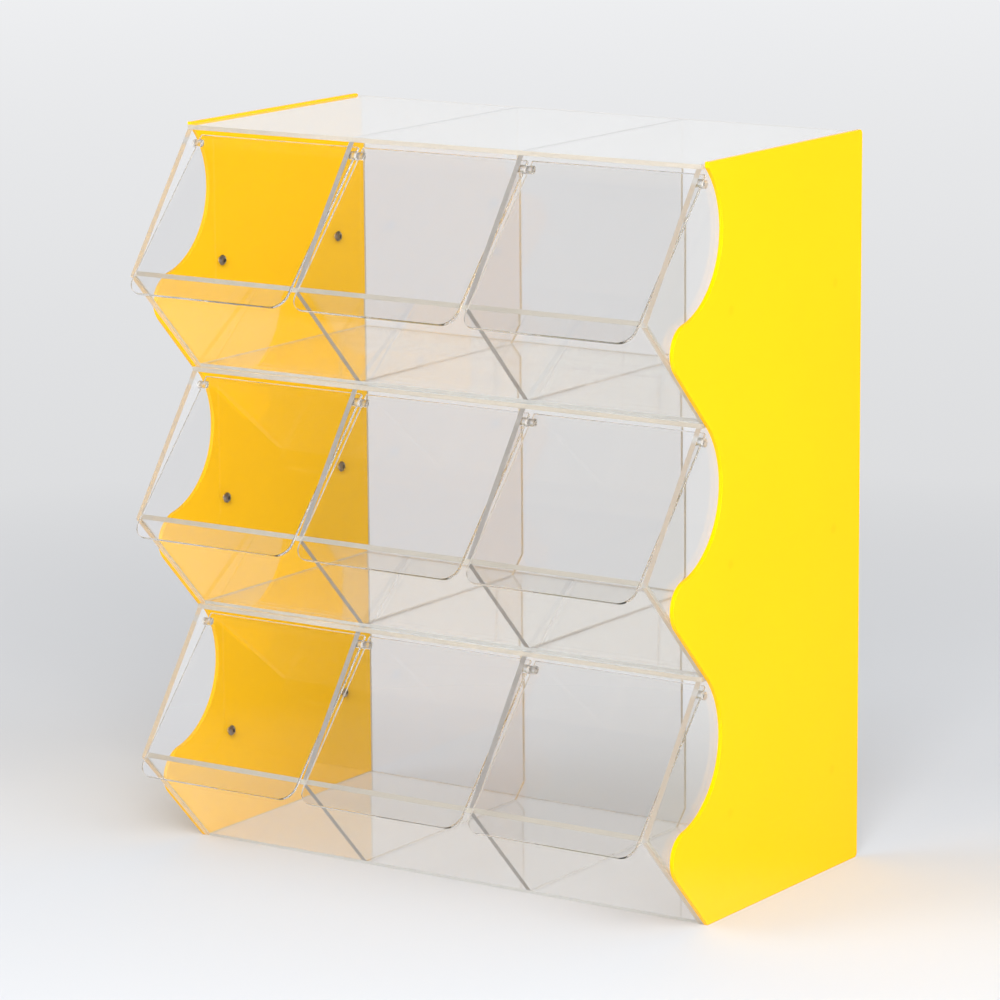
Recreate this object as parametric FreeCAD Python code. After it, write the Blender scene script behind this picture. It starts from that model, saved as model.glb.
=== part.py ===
import FreeCAD, Part
import math
import os

from FreeCAD import Vector

# Clear acrylic bin display: three tiers of three scoop bins between two coloured side panels.
# Millimetres. +X to the right, +Y to the back, +Z up. Shapes are drawn with y = 0 at the front
# corners of the side panels, and then moved so that the origin lies under the middle of the part.

# Bins
tier_names = ("lower", "middle", "upper")
column_names = ("left", "centre", "right")
bin_width = 170.0
tier_height = 216.0
panel_depth = 254.0

# Sheet thicknesses
side_panel_thickness = 4.0
end_panel_thickness = 5.0
divider_thickness = 5.0
top_thickness = 4.0
floor_thickness = 5.0
chute_thickness = 5.0
back_thickness = 4.0
lid_thickness = 3.0

# Chute: the sloping front wall of a tier, which rises forwards from the floor to the lip
chute_angle = math.radians(45.8)
chute_length = 129.5

# Top sheets reach in front of the side panels' front corners
top_overhang = 5.0

# Dividers have their lower back corner cut off
divider_snip = 14.0

# Side panels: each tier has a slope, a rounded nose and a hollow scallop
panel_rise = 2.0
head_band = 5.0
nose_reach = 55.0
nose_radius = 24.0
scallop_end_angle = math.radians(46.0)
back_corner_radius = 4.0

# Lids hang on pins near their upper corners and rest just clear of the lip
pivot_setback = 1.5
pivot_drop = 13.0
lid_above_pivot = 9.0
lid_below_pivot = 159.0
lid_side_gap = 1.2
lid_rest_gap = 0.4
lid_corner_radius = 14.0

# Pivot pins: bonded in a notch in the lid's side, and running in the divider or end panel
pin_radius = 3.5
pin_clearance = 0.05
pin_seat = 5.0
pin_engagement = 2.0
pin_chamfer = 0.4

# Button head screws go from inside a bin through the end panel into a blind hole in the side panel
screw_front_inset = 36.0
screw_back_inset = 45.5
screw_height = 90.0
screw_radius = 2.5
screw_grip = 3.0
screw_head_radius = 4.75
screw_head_height = 2.75
screw_head_rim = 0.5
screw_socket_width = 3.0
screw_socket_depth = 1.6
screw_hole_clearance = 0.25
screw_thread_clearance = 0.05
screw_tip_clearance = 0.2

# Sizes that follow from the ones above
tier_count = len(tier_names)
column_count = len(column_names)
tray_width = column_count * bin_width + (column_count - 1) * divider_thickness
shell_width = tray_width + 2 * end_panel_thickness
side_panel_x = shell_width / 2
end_panel_x = tray_width / 2
column_pitch = bin_width + divider_thickness
stack_height = tier_count * tier_height
panel_height = stack_height + panel_rise
wave_height = (panel_height - head_band) / tier_count
back_sheet_y = panel_depth - back_thickness
wall_height = tier_height - top_thickness

slope_y = -math.cos(chute_angle)
slope_z = math.sin(chute_angle)
inward_y = math.sin(chute_angle)
inward_z = math.cos(chute_angle)
lip_outer = (chute_length * slope_y, chute_length * slope_z)
lip_inner = (lip_outer[0] + chute_thickness * inward_y, lip_outer[1] + chute_thickness * inward_z)
chute_foot_inner = ((chute_thickness - floor_thickness * inward_z) / inward_y, floor_thickness)

pivot_y = pivot_setback
pivot_z = wall_height - pivot_drop
lid_width = bin_width - 2 * lid_side_gap
lid_reach_to_lip = math.hypot(pivot_y - lip_outer[0], pivot_z - lip_outer[1])
lid_lean = (math.atan2(pivot_y - lip_outer[0], pivot_z - lip_outer[1])
            + math.asin((lid_thickness / 2 + lid_rest_gap) / lid_reach_to_lip))
lid_front_y = pivot_y - lid_below_pivot * math.sin(lid_lean) - lid_thickness / 2 * math.cos(lid_lean)

screw_places = (screw_front_inset, panel_depth - screw_back_inset)
screw_hole_radius = screw_radius + screw_hole_clearance
screw_thread_radius = screw_radius + screw_thread_clearance
screw_length = end_panel_thickness + screw_grip
blind_depth = screw_grip + screw_tip_clearance

origin_y = (lid_front_y + panel_depth) / 2
to_origin = Vector(0, -origin_y, 0)


def tier_base(tier):
    """Height of a tier's underside."""
    return tier * tier_height


def column_middle(column):
    """Middle of a column of bins, across the part."""
    return (column - (column_count - 1) / 2) * column_pitch


def side_point(place, x=0):
    """A point of a drawing seen from the side, given as (y, z)."""
    return Vector(x, place[0], place[1])


def straight(start, end):
    return Part.makeLine(side_point(start), side_point(end))


def on_circle(centre, radius, angle):
    return (centre[0] + radius * math.cos(angle), centre[1] + radius * math.sin(angle))


def round_edge(centre, radius, start_angle, end_angle):
    """An arc of a circle from one angle to another, seen from the side."""
    angles = (start_angle, (start_angle + end_angle) / 2, end_angle)
    points = [side_point(on_circle(centre, radius, angle)) for angle in angles]
    return Part.Arc(*points).toShape()


def sheet_from_edges(edges, x_low, thickness):
    """An upright sheet whose outline is seen from the side."""
    face = Part.Face(Part.Wire(Part.__sortEdges__(edges)))
    solid = face.extrude(Vector(thickness, 0, 0))
    solid.translate(Vector(x_low, 0, 0))
    return solid


def sheet_from_corners(corners, x_low, thickness):
    """An upright sheet with straight edges between the given corners."""
    edges = [straight(start, end) for start, end in zip(corners, corners[1:] + corners[:1])]
    return sheet_from_edges(edges, x_low, thickness)


def raised(corners, height):
    return [(y, z + height) for y, z in corners]


def rod(x_low, length, place, radius):
    """A round rod along X."""
    return Part.makeCylinder(radius, length, side_point(place, x_low), Vector(1, 0, 0))


def wave_edges(base):
    """The front edge of a side panel beside one tier: slope, nose and scallop, from the bottom up."""
    nose_rise = (nose_radius + (nose_reach - nose_radius) * inward_y) / inward_z
    nose = (nose_radius - nose_reach, base + nose_rise)
    slope_end = (nose[0] - nose_radius * inward_y, nose[1] - nose_radius * inward_z)
    corner = (0, base + wave_height)
    span = (corner[0] - nose[0], corner[1] - nose[1])
    lean = span[0] * math.cos(scallop_end_angle) + span[1] * math.sin(scallop_end_angle)
    radius = (span[0] ** 2 + span[1] ** 2 - nose_radius ** 2) / (2 * (nose_radius + lean))
    scallop = on_circle(corner, radius, scallop_end_angle - math.pi)
    join_angle = math.atan2(scallop[1] - nose[1], scallop[0] - nose[0])
    slope_angle = math.atan2(-inward_z, -inward_y) + 2 * math.pi
    return [
        straight((0, base), slope_end),
        round_edge(nose, nose_radius, slope_angle, join_angle),
        round_edge(scallop, radius, join_angle - math.pi, scallop_end_angle),
    ]


def side_panel(side):
    """A coloured side panel with its waved front edge and its blind screw holes."""
    edges = []
    for tier in range(tier_count):
        edges += wave_edges(tier * wave_height)
    low = (panel_depth - back_corner_radius, back_corner_radius)
    high = (panel_depth - back_corner_radius, panel_height - back_corner_radius)
    edges.append(straight((0, tier_count * wave_height), (0, panel_height)))
    edges.append(straight((0, panel_height), (high[0], panel_height)))
    edges.append(round_edge(high, back_corner_radius, math.pi / 2, 0))
    edges.append(straight((panel_depth, high[1]), (panel_depth, low[1])))
    edges.append(round_edge(low, back_corner_radius, 0, -math.pi / 2))
    edges.append(straight((low[0], 0), (0, 0)))
    x_low = side_panel_x if side > 0 else -side_panel_x - side_panel_thickness
    panel = sheet_from_edges(edges, x_low, side_panel_thickness)
    hole_low = side_panel_x if side > 0 else -side_panel_x - blind_depth
    for tier in range(tier_count):
        for y in screw_places:
            place = (y, tier_base(tier) + screw_height)
            panel = panel.cut(rod(hole_low, blind_depth, place, screw_thread_radius))
    return panel


def top_sheet(tier):
    """The sheet that closes a tier above and covers its end panels, dividers and back."""
    place = Vector(-shell_width / 2, -top_overhang, tier_base(tier) + wall_height)
    return Part.makeBox(shell_width, panel_depth + top_overhang, top_thickness, place)


def floor_sheet(tier):
    """The floor of a tier, mitred against the chute."""
    corners = [(0, 0), chute_foot_inner, (back_sheet_y, floor_thickness), (back_sheet_y, 0)]
    return sheet_from_corners(raised(corners, tier_base(tier)), -tray_width / 2, tray_width)


def chute(tier):
    """The sloping front wall of a tier, from the floor up to the lip."""
    corners = [(0, 0), lip_outer, lip_inner, chute_foot_inner]
    return sheet_from_corners(raised(corners, tier_base(tier)), -tray_width / 2, tray_width)


def back_sheet(tier):
    """The upright back of a tier."""
    place = Vector(-tray_width / 2, back_sheet_y, tier_base(tier))
    return Part.makeBox(tray_width, back_thickness, wall_height, place)


def drilled(sheet, x_low, thickness, tier):
    """Cut the hole for the lids' pivot pins."""
    place = (pivot_y, tier_base(tier) + pivot_z)
    return sheet.cut(rod(x_low, thickness, place, pin_radius + pin_clearance))


def end_panel(side, tier):
    """The clear end wall of a tier, with its pivot hole and its two screw holes."""
    corners = [
        (0, 0),
        lip_outer,
        (-top_overhang, wall_height),
        (panel_depth, wall_height),
        (panel_depth, 0),
    ]
    x_low = end_panel_x if side > 0 else -end_panel_x - end_panel_thickness
    panel = sheet_from_corners(raised(corners, tier_base(tier)), x_low, end_panel_thickness)
    panel = drilled(panel, x_low, end_panel_thickness, tier)
    for y in screw_places:
        place = (y, tier_base(tier) + screw_height)
        panel = panel.cut(rod(x_low, end_panel_thickness, place, screw_hole_radius))
    return panel


def divider(side, tier):
    """The clear wall between two bins, standing on the floor inside the chute and the back."""
    corners = [
        chute_foot_inner,
        lip_inner,
        (-top_overhang, wall_height),
        (back_sheet_y, wall_height),
        (back_sheet_y, floor_thickness + divider_snip),
        (back_sheet_y - divider_snip, floor_thickness),
    ]
    x_low = side * column_pitch / 2 - divider_thickness / 2
    panel = sheet_from_corners(raised(corners, tier_base(tier)), x_low, divider_thickness)
    return drilled(panel, x_low, divider_thickness, tier)


def lid_sheet():
    """A lid hanging straight down from its pivot line, which is the X axis."""
    half = lid_width / 2
    front = -lid_thickness / 2
    low = -lid_below_pivot
    height = lid_below_pivot + lid_above_pivot
    sheet = Part.makeBox(lid_width, lid_thickness, height, Vector(-half, front, low))
    lower_corners = [edge for edge in sheet.Edges if is_lower_corner(edge, low)]
    sheet = sheet.makeFillet(lid_corner_radius, lower_corners)
    for x_low in (-half, half - pin_seat):
        place = Vector(x_low, front, -pin_radius)
        sheet = sheet.cut(Part.makeBox(pin_seat, lid_thickness, 2 * pin_radius, place))
    return sheet


def is_lower_corner(edge, low):
    """True for the two short edges through the thickness at the lid's lower corners."""
    ends = [vertex.Point for vertex in edge.Vertexes]
    across = abs(ends[0].y - ends[-1].y)
    highest = max(end.z for end in ends)
    return across > lid_thickness / 2 and highest < low + lid_corner_radius


def lid_pins():
    """The two pivot pins of a lid on the X axis, with chamfered running ends."""
    length = pin_seat + lid_side_gap + pin_engagement
    tip = lid_width / 2 - pin_seat + length
    pins = []
    for side in (-1, 1):
        x_low = tip - length if side > 0 else -tip
        pin = rod(x_low, length, (0, 0), pin_radius)
        rim = [edge for edge in pin.Edges if is_outer_rim(edge, tip)]
        pins.append(pin.makeChamfer(pin_chamfer, rim))
    return Part.makeCompound(pins)


def is_outer_rim(edge, tip):
    """True for the round edge at a pin's running end."""
    is_round = len(edge.Vertexes) == 1
    return is_round and abs(abs(edge.CenterOfMass.x) - tip) < pin_chamfer


def hung(shape, column, tier):
    """Lean a lid piece to its closed pose and carry it to its bin."""
    placed = shape.copy()
    placed.rotate(Vector(0, 0, 0), Vector(1, 0, 0), -math.degrees(lid_lean))
    placed.translate(Vector(column_middle(column), pivot_y, tier_base(tier) + pivot_z))
    return placed


def panel_screw():
    """A button head screw along X: head towards +X, shank towards -X, seated at x = 0."""
    along = Vector(1, 0, 0)
    middle = Vector(0, 0, 0)
    shank = Part.makeCylinder(screw_radius, screw_length, middle, -along)
    seat = Vector(0, screw_head_radius, 0)
    rim = Vector(screw_head_rim, screw_head_radius, 0)
    crown = Vector(screw_head_height, screw_radius, 0)
    shoulder = (rim + crown) / 2 + Vector(screw_head_rim, screw_head_rim, 0)
    crown_middle = Vector(screw_head_height, 0, 0)
    profile = [
        Part.makeLine(middle, seat),
        Part.makeLine(seat, rim),
        Part.Arc(rim, shoulder, crown).toShape(),
        Part.makeLine(crown, crown_middle),
        Part.makeLine(crown_middle, middle),
    ]
    head = Part.Face(Part.Wire(profile)).revolve(middle, along, math.degrees(2 * math.pi))
    socket_radius = screw_socket_width / 2 / math.cos(math.pi / 6)
    places = [on_circle((0, 0), socket_radius, corner * math.pi / 3) for corner in range(6)]
    socket = sheet_from_corners(places, screw_head_height - screw_socket_depth, screw_socket_depth)
    return head.cut(socket).fuse(shank).removeSplitter()


def panel_screws(side):
    """All the screws of one side panel, two to a tier, their heads inside the end bins."""
    screws = []
    for tier in range(tier_count):
        for y in screw_places:
            screw = panel_screw()
            if side > 0:
                screw.rotate(Vector(0, 0, 0), Vector(0, 0, 1), math.degrees(math.pi))
            screw.translate(side_point((y, tier_base(tier) + screw_height), side * end_panel_x))
            screws.append(screw)
    return Part.makeCompound(screws)


def build():
    """Every piece by its node name."""
    pieces = {}
    for side, side_name in ((-1, "left"), (1, "right")):
        pieces["side_panel_" + side_name] = side_panel(side)
        pieces["panel_screws_" + side_name] = panel_screws(side)
        for tier, tier_name in enumerate(tier_names):
            pieces["end_panel_%s_%s" % (tier_name, side_name)] = end_panel(side, tier)
            pieces["divider_%s_%s" % (tier_name, side_name)] = divider(side, tier)
    for tier, tier_name in enumerate(tier_names):
        pieces["top_sheet_" + tier_name] = top_sheet(tier)
        pieces["floor_sheet_" + tier_name] = floor_sheet(tier)
        pieces["chute_" + tier_name] = chute(tier)
        pieces["back_sheet_" + tier_name] = back_sheet(tier)
    lid = lid_sheet()
    pins = lid_pins()
    for tier, tier_name in enumerate(tier_names):
        for column, column_name in enumerate(column_names):
            place_name = tier_name + "_" + column_name
            pieces["lid_" + place_name] = hung(lid, column, tier)
            pieces["lid_pins_" + place_name] = hung(pins, column, tier)
    return pieces


def main():
    os.makedirs("parts", exist_ok=True)
    for name, shape in build().items():
        shape.translate(to_origin)
        if not shape.isValid():
            raise ValueError(name + " is not a valid shape")
        shape.exportStep("parts/" + name + ".step")
    print("pivot at y %.3f, above each tier's base z %.3f" % (pivot_y - origin_y, pivot_z))
    print("lid lean %.3f degrees, origin_y %.4f" % (math.degrees(lid_lean), origin_y))


main()
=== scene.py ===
import math

import bpy
from mathutils import Matrix, Vector


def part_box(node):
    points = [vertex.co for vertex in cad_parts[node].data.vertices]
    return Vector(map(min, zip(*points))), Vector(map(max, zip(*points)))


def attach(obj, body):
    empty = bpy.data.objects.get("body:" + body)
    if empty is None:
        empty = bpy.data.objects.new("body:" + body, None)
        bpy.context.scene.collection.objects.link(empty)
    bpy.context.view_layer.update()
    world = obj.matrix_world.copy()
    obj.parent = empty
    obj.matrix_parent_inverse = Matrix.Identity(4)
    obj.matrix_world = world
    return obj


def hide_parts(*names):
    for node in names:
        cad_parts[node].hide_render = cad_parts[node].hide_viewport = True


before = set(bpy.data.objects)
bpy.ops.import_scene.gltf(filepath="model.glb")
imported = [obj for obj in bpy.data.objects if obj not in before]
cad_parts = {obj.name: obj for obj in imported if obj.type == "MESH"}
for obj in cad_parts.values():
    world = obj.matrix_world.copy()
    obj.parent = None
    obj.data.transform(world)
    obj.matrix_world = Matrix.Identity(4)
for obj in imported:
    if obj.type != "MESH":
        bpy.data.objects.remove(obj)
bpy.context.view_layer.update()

# Clear acrylic bin display: three tiers of three scoop bins between two waved yellow side panels.
# Metres, in the part's own frame: +X to the right, +Y to the back, +Z up.
MM = 0.001

tier_names = ("lower", "middle", "upper")
column_names = ("left", "centre", "right")
side_names = ("left", "right")
tier_count = len(tier_names)


def low(node):
    """Lowest corner of a node at rest."""
    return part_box(node)[0]


def high(node):
    """Highest corner of a node at rest."""
    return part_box(node)[1]


# Places that the solids give
tier_height = low("floor_sheet_middle").z
front_y = low("floor_sheet_lower").y
panel_depth = high("side_panel_left").y - front_y
panel_height = high("side_panel_left").z
floor_thickness = high("floor_sheet_lower").z
wall_height = low("top_sheet_lower").z
top_front = low("top_sheet_lower").y - front_y
back_front = low("back_sheet_lower").y - front_y
side_panel_x = low("side_panel_right").x
end_panel_x = low("end_panel_lower_right").x
column_pitch = high("divider_lower_right").x + low("divider_lower_right").x

# Chute: it rises forwards from the floor to the lip
chute_angle = math.radians(45.8)
chute_length = 129.5 * MM
chute_thickness = 5.0 * MM
divider_snip = 14.0 * MM

# Side panels: slope, nose and scallop for each tier
head_band = 5.0 * MM
nose_reach = 55.0 * MM
nose_radius = 24.0 * MM
scallop_end_angle = math.radians(46.0)
back_corner_radius = 4.0 * MM

# Lids, hung on two pins each
pivot_setback = 1.5 * MM
pivot_drop = 13.0 * MM
lid_thickness = 3.0 * MM
lid_width = 167.6 * MM
lid_above_pivot = 9.0 * MM
lid_below_pivot = 159.0 * MM
lid_rest_gap = 0.4 * MM
lid_corner_radius = 14.0 * MM
lid_top_corner_radius = 1.0 * MM
pin_radius = 3.5 * MM
pin_hole_radius = 3.55 * MM
pin_seat = 5.0 * MM
pin_length = 8.2 * MM

# Button head screws, two to a tier on each side
screw_insets = (36.0 * MM, 208.5 * MM)
screw_height = 90.0 * MM
screw_radius = 2.5 * MM
screw_hole_radius = 2.75 * MM
screw_length = 8.0 * MM
screw_head_radius = 4.75 * MM
screw_head_height = 2.75 * MM
screw_head_rim = 0.5 * MM
screw_crown_radius = 2.5 * MM
screw_socket_width = 3.0 * MM
screw_socket_depth = 1.6 * MM
screw_mark_reach = 5.5 * MM

# Cemented sheets run a little into each other, and sheets that only touch stay a little apart
cement = 0.06 * MM
dry_gap = 0.08 * MM

# Polished edges
sheet_edge_round = 0.12 * MM
panel_edge_round = 0.5 * MM
lid_edge_round = 0.45 * MM
pin_edge_round = 0.3 * MM
screw_edge_round = 0.1 * MM
rounding_steps = 2
arc_step = math.radians(3.0)
smooth_angle = math.radians(35.0)
weld = 0.001 * MM

# How far a face has to point one way to count as a broad face, an underside, a slope or a back edge
broad_face_share = 0.99
underside_share = 0.95
slope_share = 0.2
back_share = 0.2
lid_left_share = 0.9

wave_height = (panel_height - head_band) / tier_count
inward = Vector((0, math.sin(chute_angle), math.cos(chute_angle)))
lip_outer = (-chute_length * math.cos(chute_angle), chute_length * math.sin(chute_angle))
lip_inner = (lip_outer[0] + chute_thickness * inward.y, lip_outer[1] + chute_thickness * inward.z)
chute_foot = ((chute_thickness - floor_thickness * inward.z) / inward.y, floor_thickness)
pivot = (pivot_setback, wall_height - pivot_drop)
reach_to_lip = math.hypot(pivot[0] - lip_outer[0], pivot[1] - lip_outer[1])
lid_lean = (math.atan2(pivot[0] - lip_outer[0], pivot[1] - lip_outer[1])
            + math.asin((lid_thickness / 2 + lid_rest_gap) / reach_to_lip))
sideways = Vector((1, 0, 0))
backward = Vector((0, 1, 0))
upward = Vector((0, 0, 1))


# Materials: colours, shares, and pattern scales in cells per metre
acrylic_ior = 1.49
light_through_sheet = 0.965

sheet_mirror_tint = (1.0, 0.84, 0.54)
sheet_patch_scale = 25.0
sheet_patch_tone = 0.995
fine_grain_scale = 900.0
sheet_haze = 0.01
pin_haze = 0.4
top_clearness = 0.86
top_coat = 1.0

satin_clearness = 0.5
satin_roughness = (0.35, 0.5)
saw_mark_scale = 700.0
saw_mark_tone = 0.92

yellow_face = (1.0, 0.54, 0.0)
yellow_cloud = (0.985, 0.527, 0.0)
yellow_screw_mark = (0.95, 0.50, 0.0)
yellow_cut_edge_lit_tone = (0.98, 0.51, 0.0)
yellow_mirror_tint = (1.0, 0.8, 0.3)
yellow_cloud_scale = 4.0
yellow_gloss_scale = 60.0
yellow_roughness = (0.10, 0.16)

steel_dark = (0.34, 0.29, 0.26)
steel_bright = (0.50, 0.44, 0.40)
steel_grain_scale = 2500.0
steel_roughness = (0.28, 0.45)


class Paint:
    """A new material with short words for its nodes."""

    def __init__(self, name):
        self.material = bpy.data.materials.new(name)
        self.material.use_nodes = True
        self.nodes = self.material.node_tree.nodes
        self.links = self.material.node_tree.links
        self.shader = self.nodes["Principled BSDF"]

    def join(self, value, socket):
        """Link a socket to another one, or set its value."""
        if isinstance(value, bpy.types.NodeSocket):
            self.links.new(value, socket)
        elif isinstance(value, tuple) and socket.type == "RGBA":
            socket.default_value = (*value, 1)
        else:
            socket.default_value = value

    def place(self, stretch=(1, 1, 1)):
        """Object coordinates, stretched along the axes."""
        coordinates = self.nodes.new("ShaderNodeTexCoord")
        mapping = self.nodes.new("ShaderNodeMapping")
        mapping.inputs["Scale"].default_value = stretch
        self.links.new(coordinates.outputs["Object"], mapping.inputs["Vector"])
        return mapping.outputs["Vector"]

    def noise(self, place, scale, detail=3.0, roughness=0.5):
        texture = self.nodes.new("ShaderNodeTexNoise")
        texture.inputs["Scale"].default_value = scale
        texture.inputs["Detail"].default_value = detail
        texture.inputs["Roughness"].default_value = roughness
        self.links.new(place, texture.inputs["Vector"])
        return texture.outputs["Fac"]

    def spread(self, value, start, end, lowest=0.35, highest=0.65):
        """Spread a pattern's values from lowest to highest over start to end."""
        ranged = self.nodes.new("ShaderNodeMapRange")
        ranged.inputs["From Min"].default_value = lowest
        ranged.inputs["From Max"].default_value = highest
        ranged.inputs["To Min"].default_value = start
        ranged.inputs["To Max"].default_value = end
        self.links.new(value, ranged.inputs["Value"])
        return ranged.outputs["Result"]

    def ramp(self, value, reach, tones):
        """Grey tones at places along a value that runs from 0 to reach."""
        ramp = self.nodes.new("ShaderNodeValToRGB")
        stops = ramp.color_ramp.elements
        while len(stops) > 1:
            stops.remove(stops[-1])
        for index, (place, tone) in enumerate(tones):
            stop = stops.new(place / reach) if index else stops[0]
            stop.position = place / reach
            stop.color = (0.992 * tone, tone, 1.018 * tone, 1)
        self.links.new(self.spread(value, 0.0, 1.0, 0.0, reach), ramp.inputs["Fac"])
        return ramp.outputs["Color"]

    def blend(self, factor, first, second):
        """Blend two colours, each a colour or a socket."""
        mix = self.nodes.new("ShaderNodeMix")
        mix.data_type = "RGBA"
        ends = [socket for socket in mix.inputs if socket.type == "RGBA"]
        for socket, colour in zip(ends, (first, second)):
            self.join(colour, socket)
        self.links.new(factor, mix.inputs["Factor"])
        return [socket for socket in mix.outputs if socket.type == "RGBA"][0]

    def reckon(self, operation, first, second):
        node = self.nodes.new("ShaderNodeMath")
        node.operation = operation
        self.join(first, node.inputs[0])
        self.join(second, node.inputs[1])
        return node.outputs["Value"]

    def measure(self, operation, place, other=None):
        """A length, distance or dot product of a place."""
        node = self.nodes.new("ShaderNodeVectorMath")
        node.operation = operation
        self.links.new(place, node.inputs[0])
        if other:
            node.inputs[1].default_value = other
        return node.outputs["Value"]

    def screw_marks(self, place):
        """1 where a screw ends in a side panel, 0 around it."""
        split = self.nodes.new("ShaderNodeSeparateXYZ")
        self.links.new(place, split.inputs["Vector"])
        in_tier = self.nodes.new("ShaderNodeCombineXYZ")
        self.links.new(split.outputs["Y"], in_tier.inputs["Y"])
        self.links.new(self.reckon("MODULO", split.outputs["Z"], tier_height), in_tier.inputs["Z"])
        marks = []
        for inset in screw_insets:
            screw = (0, front_y + inset, screw_height)
            away = self.measure("DISTANCE", in_tier.outputs["Vector"], screw)
            marks.append(self.spread(away, 1.0, 0.0, screw_radius, screw_mark_reach))
        return self.reckon("ADD", *marks)

    def cut_edge(self):
        """1 on a sheet's cut edges, 0 on its broad faces."""
        attribute = self.nodes.new("ShaderNodeAttribute")
        attribute.attribute_name = "cut_edge"
        return attribute.outputs["Fac"]

    def feed(self, label, value):
        """Link or set one of the shader's inputs."""
        self.join(value, self.shader.inputs[label])

    def bump(self, height, strength, distance):
        bump = self.nodes.new("ShaderNodeBump")
        bump.inputs["Strength"].default_value = strength
        bump.inputs["Distance"].default_value = distance
        self.links.new(height, bump.inputs["Height"])
        self.feed("Normal", bump.outputs["Normal"])

    def let_light_through(self):
        """Lamp light and diffuse light cross the clear sheet and lose a little."""
        path = self.nodes.new("ShaderNodeLightPath")
        through = self.nodes.new("ShaderNodeBsdfTransparent")
        through.inputs["Color"].default_value = (*3 * [light_through_sheet], 1)
        mix = self.nodes.new("ShaderNodeMixShader")
        soft = self.reckon("MAXIMUM", path.outputs["Is Shadow Ray"], path.outputs["Is Diffuse Ray"])
        self.links.new(soft, mix.inputs["Fac"])
        self.links.new(self.shader.outputs["BSDF"], mix.inputs[1])
        self.links.new(through.outputs["BSDF"], mix.inputs[2])
        self.links.new(mix.outputs["Shader"], self.nodes["Material Output"].inputs["Surface"])


def clear_acrylic(name, colour, haze=sheet_haze, clearness=1.0, hard_coat=0.0):
    """Clear cast sheet: clean faces with a trace of haze in patches."""
    paint = Paint(name)
    paint.feed("Transmission Weight", clearness)
    paint.feed("Coat Weight", hard_coat)
    paint.feed("IOR", acrylic_ior)
    paint.feed("Specular Tint", sheet_mirror_tint)
    patches = paint.noise(paint.place(), sheet_patch_scale)
    patch_colour = tuple(sheet_patch_tone * share for share in colour)
    paint.feed("Base Color", paint.blend(patches, colour, patch_colour))
    grain = paint.noise(paint.place(), fine_grain_scale)
    paint.feed("Roughness", paint.spread(grain, haze / 2, haze))
    paint.let_light_through()
    return paint.material


def satin_edge(name, colour):
    """The sawn edge of a clear sheet: it scatters the light that the sheet gathers. Its tone, given per
    copy, also holds painted light and shade.
    """
    paint = Paint(name)
    paint.feed("Transmission Weight", satin_clearness)
    paint.feed("IOR", acrylic_ior)
    marks = paint.noise(paint.place(), saw_mark_scale, detail=4.0)
    dull = tuple(saw_mark_tone * share for share in colour)
    paint.feed("Base Color", paint.blend(paint.spread(marks, 0.0, 1.0), colour, dull))
    paint.feed("Roughness", paint.spread(marks, *satin_roughness))
    paint.bump(marks, strength=0.1, distance=0.1 * MM)
    paint.let_light_through()
    return paint.material


def yellow_acrylic():
    """Yellow sheet: even satin gloss, with the screws' ends faintly showing."""
    paint = Paint("yellow_sheet")
    place = paint.place()
    cloud = paint.spread(paint.noise(place, yellow_cloud_scale, detail=2.0), 0.0, 1.0)
    faces = paint.blend(cloud, yellow_face, yellow_cloud)
    faces = paint.blend(paint.screw_marks(place), faces, yellow_screw_mark)
    # Painted light: the cut edges get a tone of their own, set for how the light falls on them.
    paint.feed("Base Color", paint.blend(paint.cut_edge(), faces, yellow_cut_edge_lit_tone))
    gloss = paint.noise(place, yellow_gloss_scale, detail=5.0, roughness=0.6)
    paint.feed("Roughness", paint.spread(gloss, *yellow_roughness))
    paint.feed("IOR", acrylic_ior)
    paint.feed("Specular Tint", yellow_mirror_tint)
    grain = paint.noise(place, fine_grain_scale, detail=2.0)
    paint.bump(grain, strength=0.03, distance=0.2 * MM)
    return paint.material


def screw_steel():
    """Dark steel with fine turning marks."""
    paint = Paint("dark_screw_steel")
    grain = paint.noise(paint.place(stretch=(0.3, 1, 1)), steel_grain_scale)
    tone = paint.spread(grain, 0.0, 1.0)
    paint.feed("Base Color", paint.blend(tone, steel_dark, steel_bright))
    paint.feed("Metallic", 1.0)
    paint.feed("Roughness", paint.spread(grain, *steel_roughness))
    paint.bump(grain, strength=0.15, distance=0.1 * MM)
    return paint.material


# Geometry trees


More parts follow.
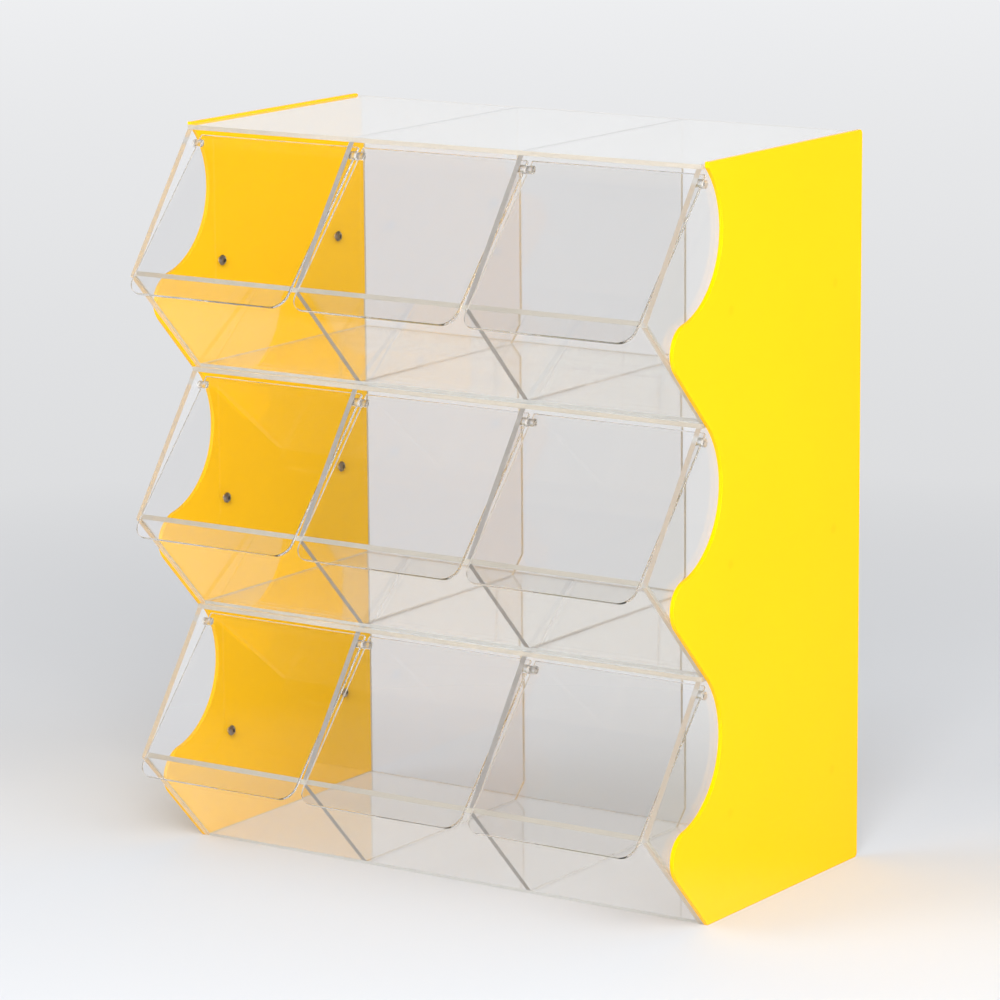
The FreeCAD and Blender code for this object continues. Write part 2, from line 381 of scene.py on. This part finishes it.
class Tree:
    """A geometry tree with named inputs, ended by Realize Instances and Set Material."""

    def __init__(self, name, sizes=(), counts=()):
        self.group = bpy.data.node_groups.new(name, "GeometryNodeTree")
        self.socket("Geometry", "NodeSocketGeometry")
        for label in sizes:
            self.socket(label, "NodeSocketFloat")
        for label in counts:
            self.socket(label, "NodeSocketInt")
        self.socket("Material", "NodeSocketMaterial")
        self.socket("Geometry", "NodeSocketGeometry", "OUTPUT")
        self.given = self.group.nodes.new("NodeGroupInput").outputs

    def socket(self, label, kind, direction="INPUT"):
        self.group.interface.new_socket(name=label, in_out=direction, socket_type=kind)

    def feed(self, socket, value):
        """Link a socket to another one, or set its value."""
        if isinstance(value, bpy.types.NodeSocket):
            self.group.links.new(value, socket)
        else:
            socket.default_value = value

    def add(self, kind, **inputs):
        """A node with its inputs fed by name."""
        node = self.group.nodes.new("GeometryNode" + kind)
        for label, value in inputs.items():
            self.feed(node.inputs[label.replace("_", " ")], value)
        return node

    def vector(self, x, y, z):
        node = self.group.nodes.new("ShaderNodeCombineXYZ")
        for socket, value in zip(node.inputs, (x, y, z)):
            self.feed(socket, value)
        return node.outputs["Vector"]

    def reckon(self, operation, first, second):
        node = self.group.nodes.new("ShaderNodeMath")
        node.operation = operation
        self.feed(node.inputs[0], first)
        self.feed(node.inputs[1], second)
        return node.outputs["Value"]

    def joined(self, *geometries):
        join = self.add("JoinGeometry")
        for geometry in geometries:
            self.feed(join.inputs["Geometry"], geometry)
        return join.outputs["Geometry"]

    def welded(self, geometry):
        return self.add("MergeByDistance", Geometry=geometry, Distance=weld).outputs["Geometry"]

    def placed(self, solid, shift):
        return self.add("Transform", Geometry=solid, Translation=shift).outputs["Geometry"]

    def at_points(self, points, solid, turn):
        node = self.add("InstanceOnPoints", Points=points, Instance=solid, Rotation=turn)
        return node.outputs["Instances"]

    def combined(self, operation, first, second):
        """A boolean of two solids."""
        node = self.add("MeshBoolean")
        node.operation = operation
        node.solver = "EXACT"
        self.feed(node.inputs["Mesh 1" if operation == "DIFFERENCE" else "Mesh 2"], first)
        self.feed(node.inputs["Mesh 2"], second)
        return node.outputs["Mesh"]

    def cylinder(self, corners, radius, depth):
        return self.add("MeshCylinder", Vertices=corners, Radius=radius, Depth=depth).outputs["Mesh"]

    def thickened(self, outline):
        """Fill a flat outline, holes included, and give it its thickness."""
        loops = self.add("MeshToCurve", Mesh=outline)
        fill = self.add("FillCurve", Curve=loops.outputs["Curve"])
        fill.mode = "NGONS"
        face = fill.outputs["Mesh"]
        grown = self.add("ExtrudeMesh", Mesh=face, Individual=False, Offset_Scale=self.given["Thickness"])
        underside = self.add("FlipFaces", Mesh=face).outputs["Mesh"]
        return self.welded(self.joined(grown.outputs["Mesh"], underside))

    def finish(self, geometry):
        realize = self.add("RealizeInstances", Geometry=geometry)
        paint = self.add("SetMaterial", Geometry=realize.outputs["Geometry"])
        self.feed(paint.inputs["Material"], self.given["Material"])
        result = self.group.nodes.new("NodeGroupOutput")
        self.feed(result.inputs["Geometry"], paint.outputs["Geometry"])
        return self.group


def sheet_tree():
    """A flat sheet from its outline."""
    tree = Tree("cut_sheet", ["Thickness"])
    return tree.finish(tree.thickened(tree.given["Geometry"]))


def waved_panel_tree():
    """A side panel: one tier's wave repeated up its front edge, and its plain back outline."""
    tree = Tree("waved_side_panel", ["Wave Height", "Thickness"], ["Tiers"])
    mark = tree.add("InputNamedAttribute", Name="one_wave")
    mark.data_type = "BOOLEAN"
    parts = tree.add("SeparateGeometry", Geometry=tree.given["Geometry"])
    parts.domain = "EDGE"
    tree.feed(parts.inputs["Selection"], mark.outputs["Attribute"])
    step = tree.vector(0.0, tree.given["Wave Height"], 0.0)
    ladder = tree.add("MeshLine", Count=tree.given["Tiers"], Offset=step)
    waves = tree.at_points(ladder.outputs["Mesh"], parts.outputs["Selection"], (0.0, 0.0, 0.0))
    waves = tree.add("RealizeInstances", Geometry=waves).outputs["Geometry"]
    outline = tree.welded(tree.joined(waves, parts.outputs["Inverted"]))
    return tree.finish(tree.thickened(outline))


def screws_tree():
    """Button head screws with a hex socket, one at each point, their heads towards the bins."""
    sizes = ["Head Radius", "Head Height", "Dome Radius", "Shank Radius", "Shank Length"]
    tree = Tree("button_head_screws", sizes + ["Socket Radius", "Socket Depth", "Turn"])
    given = tree.given
    half_head = tree.reckon("MULTIPLY", given["Head Height"], 0.5)
    blank = tree.cylinder(64, given["Head Radius"], given["Head Height"])
    blank = tree.placed(blank, tree.vector(0.0, 0.0, half_head))
    ball = tree.add("MeshUVSphere", Segments=64, Rings=48, Radius=given["Dome Radius"]).outputs["Mesh"]
    dome_z = tree.reckon("POWER", given["Dome Radius"], 2.0)
    crown_square = tree.reckon("POWER", screw_crown_radius, 2.0)
    dome_z = tree.reckon("POWER", tree.reckon("SUBTRACT", dome_z, crown_square), 0.5)
    dome_z = tree.reckon("SUBTRACT", given["Head Height"], dome_z)
    ball = tree.placed(ball, tree.vector(0.0, 0.0, dome_z))
    head = tree.combined("INTERSECT", blank, ball)
    socket_depth = tree.reckon("MULTIPLY", given["Socket Depth"], 2.0)
    socket = tree.cylinder(6, given["Socket Radius"], socket_depth)
    socket = tree.placed(socket, tree.vector(0.0, 0.0, given["Head Height"]))
    head = tree.combined("DIFFERENCE", head, socket)
    shank_z = tree.reckon("MULTIPLY", given["Shank Length"], -0.5)
    shank = tree.cylinder(48, given["Shank Radius"], given["Shank Length"])
    shank = tree.placed(shank, tree.vector(0.0, 0.0, tree.reckon("ADD", shank_z, cement)))
    screw = tree.combined("UNION", head, shank)
    turn = tree.vector(0.0, given["Turn"], 0.0)
    return tree.finish(tree.at_points(given["Geometry"], screw, turn))


def pins_tree():
    """Round pivot pins along X, one centred on each point."""
    tree = Tree("lid_pins", ["Radius", "Length"])
    rod = tree.cylinder(48, tree.given["Radius"], tree.given["Length"])
    return tree.finish(tree.at_points(tree.given["Geometry"], rod, (0.0, math.pi / 2, 0.0)))


def screw_dome_radius():
    """The ball that gives the head its dome, through the rim and the edge of the flat crown."""
    rise = screw_head_height - screw_head_rim
    middle = (screw_head_radius ** 2 - screw_crown_radius ** 2 - rise ** 2) / (2 * rise)
    return math.hypot(screw_crown_radius, rise + middle)


# Meshes


def wire_mesh(name, chains):
    """Chains of points as edges. Each is a list of points and whether it closes."""
    points, edges = [], []
    for chain, closed in chains:
        start, count = len(points), len(chain)
        points += chain
        edges += [(start + i, start + (i + 1) % count) for i in range(count if closed else count - 1)]
    mesh = bpy.data.meshes.new(name)
    mesh.from_pydata(points, edges, [])
    return mesh


def flat(places):
    """Places of a drawing as points of the XY plane."""
    return [(place[0], place[1], 0) for place in places]


def arc(centre, radius, start, end):
    """Points of an arc, both ends included."""
    steps = max(2, round(abs(end - start) / arc_step))
    angles = [start + (end - start) * step / steps for step in range(steps + 1)]
    return [(centre[0] + radius * math.cos(a), centre[1] + radius * math.sin(a)) for a in angles]


def circle(centre, radius):
    return arc(centre, radius, 0, 2 * math.pi)[:-1]


def new_piece(name, mesh):
    piece = bpy.data.objects.new(name, mesh)
    bpy.context.scene.collection.objects.link(piece)
    return piece


def make_plain(piece):
    """Keep what the piece's modifiers give as its plain mesh."""
    bpy.context.view_layer.update()
    evaluated = piece.evaluated_get(bpy.context.evaluated_depsgraph_get())
    made = bpy.data.meshes.new_from_object(evaluated)
    piece.modifiers.clear()
    drawn = piece.data
    piece.data = made
    bpy.data.meshes.remove(drawn)
    made.name = piece.name


def grow(piece, group, inputs):
    """Run a geometry tree on the piece's drawing."""
    modifier = piece.modifiers.new(group.name, "NODES")
    modifier.node_group = group
    for socket in group.interface.items_tree:
        if socket.in_out == "INPUT" and socket.name in inputs:
            modifier[socket.identifier] = inputs[socket.name]
    make_plain(piece)
    piece.data.materials.clear()
    piece.data.materials.append(inputs["Material"])
    for face in piece.data.polygons:
        face.material_index = 0


def round_edges(piece, width):
    """Round the edges, and keep the broad faces' own flat gloss."""
    piece.data.shade_smooth()
    piece.data.set_sharp_from_angle(angle=smooth_angle)
    bevel = piece.modifiers.new("polished_edges", "BEVEL")
    bevel.width = width
    bevel.segments = rounding_steps
    bevel.limit_method = "ANGLE"
    bevel.angle_limit = smooth_angle
    bevel.harden_normals = True
    make_plain(piece)


def mark_cut_edges(piece, broad):
    """Write 1 on the faces that aren't the sheet's broad faces, which face along broad."""
    marks = piece.data.attributes.new("cut_edge", "FLOAT", "FACE")
    for face in piece.data.polygons:
        marks.data[face.index].value = float(abs(face.normal.dot(broad)) < broad_face_share)


def finish_edges(piece, broad, front_edge, back_edge, slope_edge):
    """Give a sheet's back edges, its downward slope and its other edges their own satin edges, toned with
    painted light and shade by where they face.

    Broad faces and the underside keep the sheet's finish.
    """
    for edge in (front_edge, back_edge, slope_edge):
        piece.data.materials.append(edge)
    for face in piece.data.polygons:
        normal = face.normal
        if abs(normal.dot(broad)) >= broad_face_share or normal.z <= -underside_share:
            continue
        if normal.y > back_share:
            face.material_index = 2
        else:
            face.material_index = 3 if normal.z < -slope_share else 1


# Turns a flat drawing of the side view upright, its thickness along +X
side_view = Matrix(((0, 0, 1, 0), (1, 0, 0, 0), (0, 1, 0, 0), (0, 0, 0, 1)))
# Turns a flat drawing of a lid's front upright, its middle on the pivot line
lid_view = Matrix(((1, 0, 0, 0), (0, 0, -1, lid_thickness / 2), (0, 1, 0, 0), (0, 0, 0, 1)))

yellow_sheet = yellow_acrylic()
clear_sheet = clear_acrylic("clear_sheet", (0.984, 0.979, 0.970))
# Painted light and shade: the satin edge copies differ in tone by where the edges sit. They are darker on
# the dividers, which lie in shade under the lids, and lighter on the back edges and the lids' left edges.
satin_sheet_edge = satin_edge("satin_sheet_edge", (0.60, 0.55, 0.47))
shaded_satin_divider_edge = satin_edge("shaded_satin_divider_edge", (0.36, 0.345, 0.335))
satin_end_edge = satin_edge("satin_end_edge", (0.49, 0.49, 0.48))
lit_satin_back_edge = satin_edge("lit_satin_back_edge", (0.74, 0.69, 0.62))
satin_foot_edge = satin_edge("satin_foot_edge", (0.56, 0.56, 0.54))
lit_satin_lid_edge = satin_edge("lit_satin_lid_edge", (0.72, 0.71, 0.69))
clear_top_sheet = clear_acrylic("clear_top_sheet", (0.95, 0.965, 0.975), sheet_haze,
                                top_clearness, top_coat)
clear_lid_sheet = clear_acrylic("clear_lid_sheet", (0.985, 0.973, 0.955))
clear_rod = clear_acrylic("clear_pin_rod", (0.97, 0.97, 0.97), pin_haze)
dark_steel = screw_steel()
cut_sheet = sheet_tree()


def settle(piece, body, slot, *nodes):
    """Give a finished piece its body and hide the solids that it stands for. Its slot is not used."""
    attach(piece, body)
    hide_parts(*nodes)


def cut(name, loops, thickness, material, place, edge_round):
    """One sheet from its drawn outline, put in place."""
    piece = new_piece(name, wire_mesh(name, [(flat(loop), True) for loop in loops]))
    grow(piece, cut_sheet, {"Thickness": thickness, "Material": material})
    piece.data.transform(place)
    piece.data.update()
    round_edges(piece, edge_round)
    return piece


def tray_place(tier, x_low):
    """Where a drawing made from the tier's front lower corner belongs."""
    return Matrix.Translation((x_low, front_y, tier * tier_height)) @ side_view


def clear_upright(name, tier, loops, broad, x_low, x_high, edges, sheet=clear_sheet):
    """A clear sheet of one tier, between two places across the part."""
    piece = cut(name + "_clear", loops, x_high - x_low, sheet, tray_place(tier, x_low), sheet_edge_round)
    finish_edges(piece, broad, *edges)
    settle(piece, "root", "clear_acrylic", name)


def end_panel(tier, side):
    """A clear end wall with its pivot hole and screw holes."""
    name = "end_panel_%s_%s" % (tier_names[tier], side)
    outline = [(0, dry_gap), lip_outer, (top_front, wall_height + cement),
               (panel_depth, wall_height + cement), (panel_depth, dry_gap)]
    holes = [circle(pivot, pin_hole_radius)]
    holes += [circle((y, screw_height), screw_hole_radius) for y in screw_insets]
    x_low, x_high = low(name).x, high(name).x
    if side == "left":
        x_low -= cement
    else:
        x_high += cement
    edges = (satin_end_edge, lit_satin_back_edge, lit_satin_back_edge)
    clear_upright(name, tier, [outline] + holes, sideways, x_low, x_high, edges)


def divider(tier, side):
    """A clear wall between two bins, its lower back corner cut off."""
    name = "divider_%s_%s" % (tier_names[tier], side)
    into_chute = (-cement * inward.y, -cement * inward.z)
    outline = [
        (chute_foot[0] + into_chute[0], chute_foot[1] - cement),
        (lip_inner[0] + into_chute[0], lip_inner[1] + into_chute[1]),
        (top_front, wall_height + cement),
        (back_front + cement, wall_height + cement),
        (back_front + cement, floor_thickness + divider_snip),
        (back_front - divider_snip, floor_thickness - cement),
    ]
    loops = [outline, circle(pivot, pin_hole_radius)]
    edges = (shaded_satin_divider_edge, lit_satin_back_edge, shaded_satin_divider_edge)
    clear_upright(name, tier, loops, sideways, low(name).x, high(name).x, edges)


def tray_sheets(tier):
    """Floor, chute, back and top of one tier."""
    name = tier_names[tier]
    reach = end_panel_x + cement
    foot = (chute_foot[0] - cement, chute_foot[1])
    floor = [(-cement, dry_gap), foot,
             (back_front + cement, floor_thickness), (back_front + cement, dry_gap)]
    edges = (satin_foot_edge, lit_satin_back_edge, satin_foot_edge)
    clear_upright("floor_sheet_" + name, tier, [floor], upward, -reach, reach, edges)
    chute = [(0, dry_gap), lip_outer, lip_inner, chute_foot]
    edges = (satin_sheet_edge, satin_foot_edge, satin_sheet_edge)
    clear_upright("chute_" + name, tier, [chute], inward, -reach, reach, edges)
    back = [(back_front, dry_gap), (back_front, wall_height + cement),
            (panel_depth, wall_height + cement), (panel_depth, dry_gap)]
    edges = (satin_sheet_edge, lit_satin_back_edge, satin_sheet_edge)
    clear_upright("back_sheet_" + name, tier, [back], backward, -reach, reach, edges)
    top = [(top_front, wall_height), (top_front, tier_height), (panel_depth, tier_height),
           (panel_depth, wall_height)]
    reach = side_panel_x - dry_gap
    clear_upright("top_sheet_" + name, tier, [top], upward, -reach, reach, edges, clear_top_sheet)


def wave():
    """The front edge of a side panel beside one tier, from the bottom up."""
    nose_rise = (nose_radius + (nose_reach - nose_radius) * inward.y) / inward.z
    nose = (nose_radius - nose_reach, nose_rise)
    corner = (0, wave_height)
    span = (corner[0] - nose[0], corner[1] - nose[1])
    lean = span[0] * math.cos(scallop_end_angle) + span[1] * math.sin(scallop_end_angle)
    radius = (span[0] ** 2 + span[1] ** 2 - nose_radius ** 2) / (2 * (nose_radius + lean))
    scallop = (corner[0] - radius * math.cos(scallop_end_angle),
               corner[1] - radius * math.sin(scallop_end_angle))
    join = math.atan2(scallop[1] - nose[1], scallop[0] - nose[0])
    slope = math.atan2(-inward.z, -inward.y) + 2 * math.pi
    nose_edge = arc(nose, nose_radius, slope, join)
    return [(0, 0)] + nose_edge + arc(scallop, radius, join - math.pi, scallop_end_angle)[1:]


def side_panels():
    tree = waved_panel_tree()
    radius = back_corner_radius
    top_corner = arc((panel_depth - radius, panel_height - radius), radius, math.pi / 2, 0)
    foot_corner = arc((panel_depth - radius, radius), radius, 0, -math.pi / 2)
    back = [(0, tier_count * wave_height), (0, panel_height)] + top_corner + foot_corner + [(0, 0)]
    front = wave()
    for side in side_names:
        node = "side_panel_" + side
        mesh = wire_mesh(node, [(flat(back), False), (flat(front), False)])
        marks = mesh.attributes.new("one_wave", "BOOLEAN", "EDGE")
        for edge in range(len(back) - 1, len(mesh.edges)):
            marks.data[edge].value = True
        panel = new_piece(node + "_yellow", mesh)
        thickness = high(node).x - low(node).x
        sizes = {"Wave Height": wave_height, "Thickness": thickness, "Tiers": tier_count}
        grow(panel, tree, {**sizes, "Material": yellow_sheet})
        panel.data.transform(tray_place(0, low(node).x))
        panel.data.update()
        round_edges(panel, panel_edge_round)
        mark_cut_edges(panel, sideways)
        settle(panel, "root", "coloured_acrylic", node)


def panel_screws():
    tree = screws_tree()
    for side, across, turn in (("left", -end_panel_x, math.pi / 2), ("right", end_panel_x, -math.pi / 2)):
        node = "panel_screws_" + side
        seats = [(across, front_y + y, tier * tier_height + screw_height)
                 for tier in range(tier_count) for y in screw_insets]
        screws = new_piece(node + "_steel", wire_mesh(node, [([seat], False) for seat in seats]))
        grow(screws, tree, {
            "Head Radius": screw_head_radius,
            "Head Height": screw_head_height,
            "Dome Radius": screw_dome_radius(),
            "Shank Radius": screw_radius,
            "Shank Length": screw_length,
            "Socket Radius": screw_socket_width / 2 / math.cos(math.pi / 6),
            "Socket Depth": screw_socket_depth,
            "Turn": turn,
            "Material": dark_steel,
        })
        round_edges(screws, screw_edge_round)
        settle(screws, "root", "screw_steel", node)


def lid_outline():
    """A lid seen from the front: rounded lower corners and a notch for the pin at each side."""
    half = lid_width / 2
    foot = -lid_below_pivot + lid_corner_radius
    side = half - lid_corner_radius
    crown = lid_above_pivot - lid_top_corner_radius
    shoulder = half - lid_top_corner_radius
    right = [(half, -pin_radius), (half - pin_seat, -pin_radius),
             (half - pin_seat, pin_radius), (half, pin_radius)]
    left = [(-x, y) for x, y in reversed(right)]
    return (arc((side, foot), lid_corner_radius, -math.pi / 2, 0) + right
            + arc((shoulder, crown), lid_top_corner_radius, 0, math.pi / 2)
            + arc((-shoulder, crown), lid_top_corner_radius, math.pi / 2, math.pi) + left
            + arc((-side, foot), lid_corner_radius, math.pi, 3 * math.pi / 2))


def lids():
    outline = lid_outline()
    tree = pins_tree()
    leaning = Matrix.Rotation(-lid_lean, 4, "X")
    for tier, tier_name in enumerate(tier_names):
        for column, column_name in enumerate(column_names):
            name = "%s_%s" % (tier_name, column_name)
            middle = Vector(((column - 1) * column_pitch, front_y + pivot[0], tier * tier_height + pivot[1]))
            place = Matrix.Translation(middle) @ leaning @ lid_view
            lid = cut("lid_%s_clear" % name, [outline], lid_thickness, clear_lid_sheet, place,
                      lid_edge_round)
            # Painted light: only the lid's left edge gets the pale satin tone.
            lid.data.materials.append(lit_satin_lid_edge)
            for face in lid.data.polygons:
                face.material_index = int(face.normal.x < -lid_left_share)
            settle(lid, "lid_" + name, "clear_lid", "lid_" + name)
            pin_x = lid_width / 2 - pin_seat + pin_length / 2
            centres = [tuple(middle + side * pin_x * sideways) for side in (-1, 1)]
            node = "lid_pins_" + name
            pins = new_piece(node + "_rod", wire_mesh(node, [([centre], False) for centre in centres]))
            grow(pins, tree, {"Radius": pin_radius, "Length": pin_length, "Material": clear_rod})
            round_edges(pins, pin_edge_round)
            settle(pins, "lid_" + name, "clear_rod", node)


# Floor, light and camera
floor_reach = 60.0
floor_tone = (0.635, 0.647, 0.667)
# Painted shade: the floor's dark tone, seen only in reflections behind the object.
floor_reflection_shade_tone = (0.42, 0.385, 0.24)
# Painted light and shade: the glow tones grade the floor by distance as the lamps' light would, and the
# floor seen through the sheets is painted brighter, without the object's shadow.
floor_painted_through_light = (0.98, 0.99, 1.03)
floor_through_share = 0.45
floor_glow_tones = ((0.8, 0.70), (2.0, 0.735), (4.0, 0.785), (8.0, 0.86))
floor_glow_start, floor_glow_full = 0.6, 1.8
floor_near_glow_full = 0.65
towards_back_right = (0.56, 0.83, 0.0)
reflection_shade_start, reflection_shade_full = 0.15, 0.30

surround_light = (0.97, 0.98, 1.0, 1)
surround_strength = 0.52
horizon_height, horizon_tone = 0.25, (0.85, 0.855, 0.865, 1)
overhead_height, overhead_tone = 0.70, (0.06, 0.06, 0.06, 1)
lamp_aim = Vector((0, 0, 0.3))

# The camera: degrees, metres and a lens in millimetres
camera_azimuth, camera_elevation, camera_roll = 33.991, 11.514, -0.434
camera_place = Vector((2.28831, -3.37883, 1.15691))
camera_lens, camera_sensor = 171.09, 36.0
camera_reach = 200.0
sheet_bounces = 48


def floor_reflection_shade(paint, place, path):
    """Painted shade: how far the floor behind the object is painted dark where reflections see it."""
    behind = paint.measure("DOT_PRODUCT", place, towards_back_right)
    behind = paint.spread(behind, 0.0, 1.0, reflection_shade_start, reflection_shade_full)
    reflected = paint.spread(path.outputs["Glossy Depth"], 0.0, 1.0, 0.0, 1.0)
    return paint.reckon("MULTIPLY", behind, reflected)


def floor_glow(paint, distance, path):
    """Painted light and shade: the floor's glow by distance stands in for the lamps' light, and it is
    brighter where it is seen through the sheets, without the object's shadow.
    """
    tones = paint.ramp(distance, floor_glow_tones[-1][0], floor_glow_tones)
    through = paint.spread(path.outputs["Is Transmission Ray"], 0.0, floor_through_share, 0.0, 1.0)
    return paint.blend(through, tones, floor_painted_through_light)


def floor_glow_share(paint, distance, path):
    """Where the glow takes over from the shaded floor: far off, and nearer through the sheets."""
    seen = paint.reckon("MAXIMUM", path.outputs["Is Camera Ray"], path.outputs["Is Glossy Ray"])
    seen = paint.reckon("MAXIMUM", seen, path.outputs["Is Transmission Ray"])
    far = paint.spread(distance, 0.0, 1.0, floor_glow_start, floor_glow_full)
    far = paint.reckon("MULTIPLY", far, seen)
    near = paint.spread(distance, 0.0, 1.0, 0.0, floor_near_glow_full)
    through = paint.reckon("MULTIPLY", near, path.outputs["Is Transmission Ray"])
    return paint.reckon("MAXIMUM", far, through)


def studio_floor():
    """A wide pale floor, a little darker behind the object than before it and far off. Its glow, graded by
    distance and brighter through the sheets, is painted light and shade, and the dark behind it in
    reflections is painted shade.
    """
    signs = ((-1, -1), (1, -1), (1, 1), (-1, 1))
    corners = [(x * floor_reach, y * floor_reach, 0) for x, y in signs]
    mesh = bpy.data.meshes.new("studio_floor")
    mesh.from_pydata(corners, [], [(0, 1, 2, 3)])
    floor = new_piece("studio_floor", mesh)
    paint = Paint("pale_studio_floor")
    paint.feed("Roughness", 0.9)
    paint.feed("Specular IOR Level", 0.1)
    place = paint.place()
    path = paint.nodes.new("ShaderNodeLightPath")
    reflection_shade = floor_reflection_shade(paint, place, path)
    # Painted shade: the floor behind the object is painted dark, for reflected rays only.
    paint.feed("Base Color", paint.blend(reflection_shade, floor_tone, floor_reflection_shade_tone))
    distance = paint.measure("LENGTH", place)
    glow = paint.nodes.new("ShaderNodeEmission")
    tones = paint.blend(reflection_shade, floor_glow(paint, distance, path), floor_reflection_shade_tone)
    paint.links.new(tones, glow.inputs["Color"])
    mix = paint.nodes.new("ShaderNodeMixShader")
    paint.links.new(floor_glow_share(paint, distance, path), mix.inputs["Fac"])
    paint.links.new(paint.shader.outputs["BSDF"], mix.inputs[1])
    paint.links.new(glow.outputs["Emission"], mix.inputs[2])
    paint.links.new(mix.outputs["Shader"], paint.nodes["Material Output"].inputs["Surface"])
    mesh.materials.append(paint.material)


def softbox(name, place, size, power):
    """A square softbox, aimed at the object's middle."""
    soft = bpy.data.lights.new(name, "AREA")
    soft.shape = "SQUARE"
    soft.size = size
    soft.energy = power
    lamp = new_piece(name, soft)
    lamp.location = place
    aim = lamp_aim - lamp.location
    lamp.rotation_euler = aim.to_track_quat("-Z", "Y").to_euler()
    lamp.visible_glossy = False
    lamp.visible_transmission = False


def pale_surround():
    """An even pale surround. The camera and reflections see it darken overhead."""
    world = bpy.data.worlds.new("soft_studio")
    bpy.context.scene.world = world
    world.use_nodes = True
    nodes, links = world.node_tree.nodes, world.node_tree.links
    even = nodes["Background"]
    even.inputs["Color"].default_value = surround_light
    even.inputs["Strength"].default_value = surround_strength
    direction = nodes.new("ShaderNodeTexCoord")
    split = nodes.new("ShaderNodeSeparateXYZ")
    links.new(direction.outputs["Generated"], split.inputs["Vector"])
    ramp = nodes.new("ShaderNodeValToRGB")
    horizon, overhead = ramp.color_ramp.elements
    horizon.position, horizon.color = horizon_height, horizon_tone
    overhead.position, overhead.color = overhead_height, overhead_tone
    links.new(split.outputs["Z"], ramp.inputs["Fac"])
    seen = nodes.new("ShaderNodeBackground")
    links.new(ramp.outputs["Color"], seen.inputs["Color"])
    path = nodes.new("ShaderNodeLightPath")
    share = path.outputs["Is Camera Ray"]
    for kind in ("Is Glossy Ray", "Is Transmission Ray"):
        either = nodes.new("ShaderNodeMath")
        either.operation = "MAXIMUM"
        links.new(share, either.inputs[0])
        links.new(path.outputs[kind], either.inputs[1])
        share = either.outputs["Value"]
    mix = nodes.new("ShaderNodeMixShader")
    links.new(share, mix.inputs["Fac"])
    links.new(even.outputs["Background"], mix.inputs[1])
    links.new(seen.outputs["Background"], mix.inputs[2])
    links.new(mix.outputs["Shader"], nodes["World Output"].inputs["Surface"])


def studio_light():
    """The surround and three softboxes: a weak key from the right, a front light and a fill."""
    pale_surround()
    softbox("side_softbox", place=(3.3, -0.6, 2.2), size=2.2, power=60)
    softbox("front_softbox", place=(2.2, -3.0, 1.9), size=2.2, power=178)
    softbox("fill_softbox", place=(-2.6, -2.6, 2.4), size=2.4, power=75)


def photo_camera():
    """The camera that the photograph's own corners give."""
    angles = (camera_azimuth, camera_elevation, camera_roll)
    azimuth, elevation, roll = (math.radians(angle) for angle in angles)
    ahead = Vector((-math.sin(azimuth) * math.cos(elevation),
                    math.cos(azimuth) * math.cos(elevation), -math.sin(elevation)))
    right = Vector((math.cos(azimuth), math.sin(azimuth), 0))
    up = right.cross(ahead)
    rolled_right = math.cos(roll) * right + math.sin(roll) * up
    rolled_up = -math.sin(roll) * right + math.cos(roll) * up
    view = bpy.data.cameras.new("photo_camera")
    view.sensor_width = camera_sensor
    view.lens = camera_lens
    view.clip_end = camera_reach
    camera = new_piece("photo_camera", view)
    turn = Matrix((rolled_right, rolled_up, -ahead)).transposed().to_4x4()
    camera.matrix_world = Matrix.Translation(camera_place) @ turn
    bpy.context.scene.camera = camera


side_panels()
panel_screws()
for tier in range(tier_count):
    tray_sheets(tier)
    for side in side_names:
        end_panel(tier, side)
        divider(tier, side)
lids()
studio_floor()
studio_light()
photo_camera()

scene = bpy.context.scene
scene.view_settings.view_transform = "Standard"
# Light crosses many clear sheets on its way
scene.cycles.max_bounces = sheet_bounces
scene.cycles.glossy_bounces = sheet_bounces
scene.cycles.transmission_bounces = sheet_bounces
scene.cycles.transparent_max_bounces = 2 * sheet_bounces
